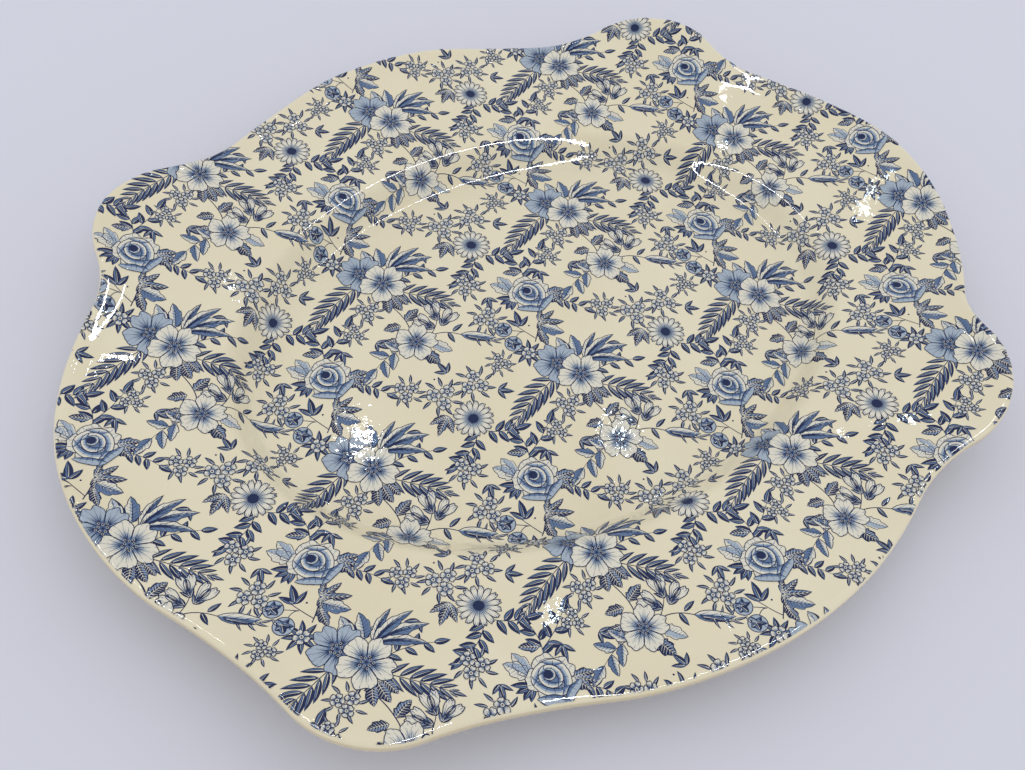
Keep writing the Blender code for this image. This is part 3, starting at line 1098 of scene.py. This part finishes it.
def build_print():
    """The print, as one piece for each ink."""
    sheet = Sheet()
    corners, level, ink = tiled(repeat_shapes())
    corners = hand_laid(corners)
    for number, (name, colour) in INK_COLOURS.items():
        chosen = ink == number
        add_print(name, corners[chosen], level[chosen], sheet, glossy(name, colour))


# ---- stage, light and camera
CAMERA_PLACE = Vector((-0.1475, -0.1758, 0.3098))
CAMERA_PITCH = math.radians(56.0)
CAMERA_HEADING = math.radians(-37.89)
CAMERA_ROLL = math.radians(9.01)
CAMERA_LENS = 37.26
CAMERA_SENSOR = 36.0

FLOOR_REACH = 30.0
LIGHT_DISTANCE = 2.5
ROOM_COLOUR = (0.93, 0.95, 1.0)
WHITE = (1.0, 1.0, 1.0)
BLUISH = (0.75, 0.9, 1.0)


def add_camera():
    data = bpy.data.cameras.new("camera")
    data.sensor_width = CAMERA_SENSOR
    data.lens = CAMERA_LENS
    data.clip_start = 0.01
    camera = bpy.data.objects.new("camera", data)
    bpy.context.scene.collection.objects.link(camera)
    heading = Matrix.Rotation(CAMERA_HEADING, 4, "Z")
    pitch = Matrix.Rotation(math.pi / 2 - CAMERA_PITCH, 4, "X")
    roll = Matrix.Rotation(CAMERA_ROLL, 4, "Z")
    camera.matrix_world = Matrix.Translation(CAMERA_PLACE) @ heading @ pitch @ roll
    bpy.context.scene.camera = camera


def add_floor():
    mesh = bpy.data.meshes.new("floor")
    corners = [(x * FLOOR_REACH, y * FLOOR_REACH, 0) for x, y in ((-1, -1), (1, -1), (1, 1), (-1, 1))]
    mesh.from_pydata(corners, [], [(0, 1, 2, 3)])
    mesh.materials.append(matt("pale_paper", PAPER, 0.9))
    floor = bpy.data.objects.new("floor", mesh)
    bpy.context.scene.collection.objects.link(floor)


def direction(azimuth, elevation):
    """Unit vector from the platter, for angles in degrees."""
    azimuth, elevation = math.radians(azimuth), math.radians(elevation)
    level = math.cos(elevation)
    return Vector((math.cos(azimuth) * level, math.sin(azimuth) * level, math.sin(elevation)))


def add_area_light(name, first, last, thickness, radiance, colour):
    """A flat light between two directions, LIGHT_DISTANCE away, that faces the platter.

    It lights only the gloss of the glaze. The even room light does the rest.
    """
    towards = (first + last).normalized()
    along = (last - first).normalized()
    length = 2 * LIGHT_DISTANCE * math.tan(first.angle(last) / 2)
    data = bpy.data.lights.new(name, "AREA")
    data.shape = "RECTANGLE"
    data.size = length
    data.size_y = thickness
    data.energy = radiance * math.pi * length * thickness
    data.color = colour
    light = bpy.data.objects.new(name, data)
    bpy.context.scene.collection.objects.link(light)
    axes = Matrix((along, towards.cross(along), towards)).transposed()
    light.matrix_world = Matrix.Translation(towards * LIGHT_DISTANCE) @ axes.to_4x4()
    light.visible_diffuse = False


def add_lights():
    world = bpy.data.worlds.new("room")
    bpy.context.scene.world = world
    world.use_nodes = True
    background = world.node_tree.nodes["Background"]
    background.inputs["Color"].default_value = (*ROOM_COLOUR, 1.0)
    background.inputs["Strength"].default_value = 1.0
    add_area_light("far_window", direction(70.5, 59.5), direction(69.5, 60.5), 0.045, 150, WHITE)
    add_area_light("side_window", direction(39.5, 57.5), direction(38.5, 58.5), 0.03, 90, BLUISH)
    add_area_light("left_strip", direction(-100, 38), direction(15, 62), 0.09, 120, WHITE)
    add_area_light("right_strip", direction(-142, 38), direction(120, 55), 0.06, 120, WHITE)


build_ware()
build_print()
add_floor()
add_lights()
add_camera()
bpy.context.scene.view_settings.view_transform = "Standard"
